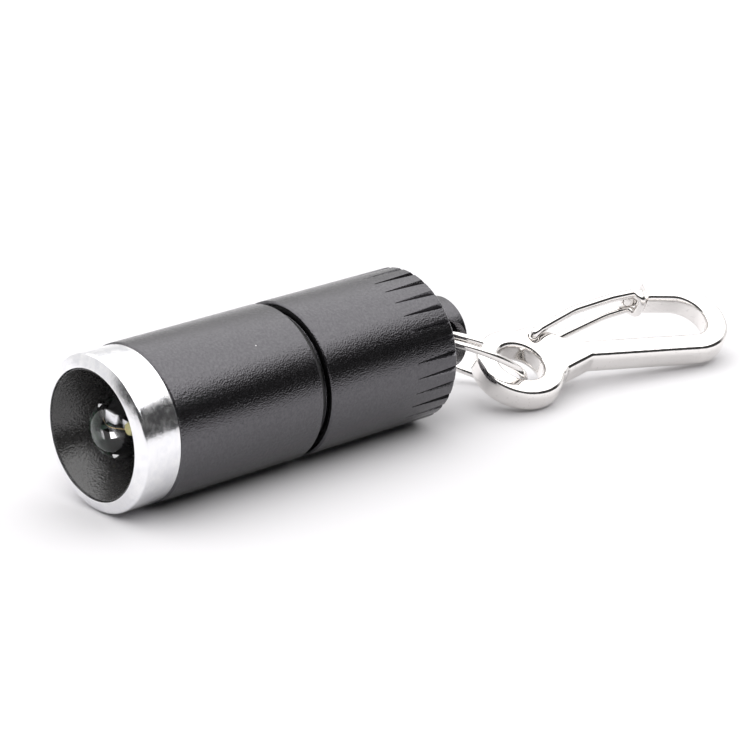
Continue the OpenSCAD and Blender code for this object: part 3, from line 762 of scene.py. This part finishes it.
def split_ring():
    """Spring-steel ring of one and a third turns, stepped where the ends overlap."""
    first, last = 62, -420
    jog_from, jog_len = -95, 110
    points = []
    for turn in range(first, last - 1, -1):
        blend = min(max((jog_from - turn) / jog_len, 0), 1)
        level = RING_LEVEL * math.cos(math.pi * blend)
        angle = math.radians(turn)
        out = RING_ACROSS * math.sin(angle) - RING_ALONG * math.cos(angle)
        points.append(RING_CENTRE + RING_R * out + RING_AXIS * level)
    wire("sprung_ring", points, RING_WIRE, "ring", RING, ["split_ring"], sides=7)


def section_points(width, thick):
    """Rounded rectangle round the bar of the hook."""
    corner = EDGE_R
    points = []
    for sx, sy, first in ((1, 1, 0), (-1, 1, 90), (-1, -1, 180), (1, -1, 270)):
        for k in range(7):
            angle = math.radians(first + 15 * k)
            points.append((
                sx * (width / 2 - corner) + corner * math.cos(angle),
                sy * (thick / 2 - corner) + corner * math.sin(angle),
            ))
    return points


def puck_points(at, radius):
    """Rounded disc of the hook's thickness."""
    points = []
    for k in range(64):
        turn = math.tau * k / 64
        for step in range(13):
            lift = math.radians(-90 + 15 * step)
            out = radius - EDGE_R + EDGE_R * math.cos(lift)
            level = math.copysign(HOOK_T / 2 - EDGE_R, lift) + EDGE_R * math.sin(lift)
            points.append(Vector((at[0] + out * math.cos(turn), at[1] + out * math.sin(turn), level)))
    return points


def bar_points(at, heading, width=SPINE_W, thick=HOOK_T):
    """One section of the bar, standing across its heading in the hook's plane."""
    angle = math.radians(heading)
    side = Vector((-math.sin(angle), math.cos(angle), 0))
    base = Vector((at[0], at[1], 0))
    return [base + side * a + Vector((0, 0, b)) for a, b in section_points(width, thick)]


def hull(points):
    """Closed convex mesh round points."""
    bm = bmesh.new()
    made = [bm.verts.new(p) for p in points]
    grown = bmesh.ops.convex_hull(bm, input=made)
    inner = set(grown["geom_interior"] + grown["geom_unused"])
    loose = [g for g in inner if isinstance(g, bmesh.types.BMVert)]
    bmesh.ops.delete(bm, geom=loose, context="VERTS")
    bmesh.ops.recalc_face_normals(bm, faces=bm.faces)
    return bm


def bow():
    """Half-round end of the hook, swept through its sections."""
    bm = bmesh.new()
    rows = []
    first, last = BOW_TURN
    for k in range(57):
        turn = first + (last - first) * k / 56
        angle = math.radians(turn)
        at = BOW_CENTRE + BOW_R * Vector((math.cos(angle), math.sin(angle)))
        rows.append([bm.verts.new(p) for p in bar_points(at, turn + 90)])
    for row, other in zip(rows, rows[1:]):
        for a in range(len(row)):
            b = (a + 1) % len(row)
            bm.faces.new((row[a], row[b], other[b], other[a]))
    bm.faces.new(rows[0])
    bm.faces.new(rows[-1])
    bmesh.ops.recalc_face_normals(bm, faces=bm.faces)
    return bm


def turned_tool(profile, at):
    """Round cutter along the hook's thickness, from a profile of (radius, level)."""
    bm = bmesh.new()
    points = [bm.verts.new((r, 0, h)) for r, h in profile]
    edges = [bm.edges.new(pair) for pair in zip(points, points[1:])]
    bmesh.ops.spin(
        bm, geom=points + edges, cent=(0, 0, 0), axis=(0, 0, 1), dvec=(0, 0, 0),
        angle=math.tau, steps=72, use_merge=True, use_duplicate=False,
    )
    bmesh.ops.remove_doubles(bm, verts=bm.verts, dist=0.0005)
    bmesh.ops.recalc_face_normals(bm, faces=bm.faces)
    bmesh.ops.translate(bm, verts=bm.verts, vec=(at[0], at[1], 0))
    return bm


def loose_object(name, bm):
    """Object from a bmesh, to be cut, joined or remeshed."""
    mesh = bpy.data.meshes.new(name)
    bm.to_mesh(mesh)
    bm.free()
    made = bpy.data.objects.new(name, mesh)
    bpy.context.scene.collection.objects.link(made)
    return made


def hook_casting():
    """Cast hook: eye, web, spine, bow, arm and the tongue that the gate closes on."""
    rear = SPINE_START + Vector((0.4, -0.03))
    arm = (ARM_END - BOW_HEAD).normalized()
    heading = math.degrees(math.atan2(arm.y, arm.x))
    spine = BOW_FOOT - SPINE_START
    lean = math.degrees(math.atan2(spine.y, spine.x))
    length, width, thick = TONGUE
    tongue = []
    for along in (-0.3, length - 0.5):
        at = ARM_END + arm * along
        angle = math.radians(heading)
        side = Vector((-math.sin(angle), math.cos(angle), 0))
        for a, b in ((1, 1), (1, -1), (-1, 1), (-1, -1)):
            level = Vector((0, 0, b * thick / 2))
            tongue.append(at.to_3d() + side * (a * width / 2) + level)
    nose = ARM_END + arm * (length - width / 2)
    for k in range(24):
        angle = math.tau * k / 24
        for level in (-thick / 2, thick / 2):
            tongue.append(Vector((
                nose.x + width / 2 * math.cos(angle), nose.y + width / 2 * math.sin(angle), level,
            )))
    web = [((0.6, 0.6), 3.0), ((2.75, 2.35), 1.65), ((4.35, 1.9), 1.05)]
    root = [((2.0, 0.2), 2.4), ((4.7, 0.9), 1.5), (rear, SPINE_W / 2 + 0.04)]
    crook = [((2.2, 0.0), 2.5), ((3.9, 0.7), 1.7)]
    parts = [
        hull(puck_points((0, 0), EYE_OUT_R)),
        hull([point for disc in web for point in puck_points(*disc)]),
        hull([point for disc in root for point in puck_points(*disc)]),
        hull([point for disc in crook for point in puck_points(*disc)]),
        hull(bar_points(SPINE_START, lean) + bar_points(BOW_FOOT + spine.normalized() * 0.1, lean)),
        bow(),
        hull(bar_points(BOW_HEAD - arm * 0.1, heading) + bar_points(ARM_END, heading)),
        hull(tongue),
    ]
    joined = bmesh.new()
    for part in parts:
        mesh = bpy.data.meshes.new("hook_part")
        part.to_mesh(mesh)
        part.free()
        joined.from_mesh(mesh)
        bpy.data.meshes.remove(mesh)
    casting = loose_object("snap_hook", joined)
    remesh(casting, 0.1)
    lip = []
    for k in range(7):
        a = math.radians(15 * k)
        lip.append((EYE_R + EDGE_R * (1 - math.cos(a)), HOOK_T / 2 - EDGE_R + EDGE_R * math.sin(a)))
    over, clear = lip[-1][0] + 0.15, 1.8
    below = [(0, -clear), (over, -clear)] + [(r, -h) for r, h in reversed(lip)]
    profile = below + lip + [(over, clear), (0, clear)]
    cutters = [turned_tool(profile, (0, 0))]
    for side in (-1, 1):
        hole = [(0, side * 1.6), (0.45, side * 1.6), (0.45, side * 0.5), (0, side * 0.5)]
        cutters.append(turned_tool(hole, PIVOT))
    for cutter in cutters:
        apply_boolean(casting, loose_object("cutter", cutter), "DIFFERENCE")
    remesh(casting, 0.085)
    soften = casting.modifiers.new("soften", "SMOOTH")
    soften.factor, soften.iterations = 0.5, 6
    apply_modifiers(casting)
    bm = bmesh.new()
    bm.from_mesh(casting.data)
    bpy.data.objects.remove(casting)
    bmesh.ops.transform(bm, verts=bm.verts, matrix=Matrix.Scale(MM, 4) @ HOOK_PLACE)
    finish_mesh("cast_hook", bm, "hook", HOOK, ["hook_body"], 60)


def remesh(piece, size):
    """Turns overlapping closed parts into one even skin."""
    skin = piece.modifiers.new("skin", "REMESH")
    skin.mode, skin.voxel_size = "VOXEL", size
    apply_modifiers(piece)


def bent(corners, radius, steps=5):
    """Path through corners in space, each bent to a short curve."""
    path = [corners[0]]
    for before, here, after in zip(corners, corners[1:], corners[2:]):
        reach = min(radius, (before - here).length * 0.45, (after - here).length * 0.45)
        start = here + (before - here).normalized() * reach
        end = here + (after - here).normalized() * reach
        for k in range(steps + 1):
            t = k / steps
            path.append(start * (1 - t) ** 2 + here * 2 * t * (1 - t) + end * t * t)
    return path + [corners[-1]]


def wire_gate():
    """Bent wire gate, its two feet in the pivot holes."""
    leg = [
        (*PIVOT, 0.36), (*PIVOT, 1.75), (7.6, 4.55, 1.5), (12.6, 5.8, 1.07),
        (ARM_END.x - 1.2, ARM_END.y - 0.1, 0.92), (ARM_END.x - 0.76, ARM_END.y - 0.96, 0.92),
    ]
    corners = [Vector((a, b, -c)) for a, b, c in leg] + [Vector(p) for p in reversed(leg)]
    path = [HOOK_PLACE @ p for p in bent(corners, 0.62)]
    wire("bent_gate", path, GATE_WIRE, "gate", GATE, ["hook_gate"], sides=8)


# ------------------------------------------------------------------- assembly

bezel_ring()
head_shell()
reflector_cone()
lamp()
tail_outer()
neck_thread()
tail_spring()
split_ring()
hook_casting()
wire_gate()

KEPT = {
    "led_seat": SEAT, "driver_board": BOARD, "ring_contact": CONTACTS, "centre_contact": CONTACTS,
    "chip_resistor": RESISTOR, "battery_sleeve": SLEEVE, "o_ring": SEAL, "button_cell_1": CELLS,
    "button_cell_2": CELLS, "button_cell_3": CELLS, "button_cell_4": CELLS,
}
for kept_name, kept_finish in KEPT.items():
    kept = nodes[kept_name]
    kept.data.materials.clear()
    kept.data.materials.append(kept_finish)


# ------------------------------------------------------------- studio, camera


def pale_floor():
    """Seamless white table top that the light lies on."""
    mesh = bpy.data.meshes.new("table_top")
    size = 3.0
    corners = [(x * size, y * size, floor_z) for x, y in ((-1, -1), (1, -1), (1, 1), (-1, 1))]
    mesh.from_pydata(corners, [], [(0, 1, 2, 3)])
    made = bpy.data.objects.new("table_top", mesh)
    bpy.context.scene.collection.objects.link(made)
    finish = Finish("table_paper", (0.70, 0.695, 0.705), 0.6, Specular_IOR_Level=0.0)
    mesh.materials.append(finish.material)


WALL_LIGHT = 0.88
TOP_LIGHT = 2.2
OPENING_LIGHT = 0.05

CAMERA_TARGET = Vector((0, 17.478, -2.086)) * MM
CAMERA_AZIMUTH, CAMERA_ELEVATION, CAMERA_ROLL = (math.radians(a) for a in (47.5613, 20.3637, 0.8156))
CAMERA_DISTANCE = 0.258556


def camera():
    """Long lens from the lamp's near side, a little above."""
    away = Vector((
        math.sin(CAMERA_AZIMUTH) * math.cos(CAMERA_ELEVATION),
        -math.cos(CAMERA_AZIMUTH) * math.cos(CAMERA_ELEVATION),
        math.sin(CAMERA_ELEVATION),
    ))
    level = Vector((math.cos(CAMERA_AZIMUTH), math.sin(CAMERA_AZIMUTH), 0))
    upright = away.cross(level)
    across = level * math.cos(CAMERA_ROLL) + upright * math.sin(CAMERA_ROLL)
    up = upright * math.cos(CAMERA_ROLL) - level * math.sin(CAMERA_ROLL)
    lens = bpy.data.cameras.new("camera")
    lens.sensor_width, lens.lens = 36, 149.28
    lens.clip_start, lens.clip_end = 0.01, 20
    made = bpy.data.objects.new("camera", lens)
    turn = Matrix((across, up, away)).transposed().to_4x4()
    made.matrix_world = Matrix.Translation(CAMERA_TARGET + away * CAMERA_DISTANCE) @ turn
    bpy.context.scene.collection.objects.link(made)
    bpy.context.scene.camera = made


def surroundings():
    """White studio: bright overhead and behind, with a dark opening low on the camera's side."""
    world = bpy.data.worlds.new("studio")
    bpy.context.scene.world = world
    world.use_nodes = True
    tree = world.node_tree
    background = tree.nodes["Background"]
    direction = tree.nodes.new("ShaderNodeTexCoord").outputs["Generated"]
    split = tree.nodes.new("ShaderNodeSeparateXYZ")
    tree.links.new(direction, split.inputs["Vector"])
    side = add(tree, "ShaderNodeVectorMath", {1: (0.906, -0.423, 0)}, operation="DOT_PRODUCT")
    tree.links.new(direction, side.inputs[0])
    near_side = between(tree, side.outputs["Value"], -0.15, 0.10, 0.0, 1.0)
    low = between(tree, split.outputs["Z"], 0.54, 0.64, 1.0, 0.0)
    opening = math_node(tree, "MULTIPLY", near_side, low)
    bright = between(tree, split.outputs["Z"], 0.40, 0.62, WALL_LIGHT, TOP_LIGHT)
    level = add(tree, "ShaderNodeMix", {"B": OPENING_LIGHT}, data_type="FLOAT")
    tree.links.new(opening, level.inputs["Factor"])
    tree.links.new(bright, level.inputs["A"])
    tree.links.new(level.outputs["Result"], background.inputs["Strength"])
    background.inputs["Color"].default_value = (1.0, 0.992, 0.995, 1)


def between(tree, source, low, high, at_low, at_high):
    """Smooth step of a value between two limits."""
    node = add(
        tree, "ShaderNodeMapRange",
        {"From Min": low, "From Max": high, "To Min": at_low, "To Max": at_high},
        interpolation_type="SMOOTHSTEP",
    )
    tree.links.new(source, node.inputs["Value"])
    return node.outputs["Result"]


pale_floor()
surroundings()
camera()
bpy.context.scene.view_settings.view_transform = "Standard"
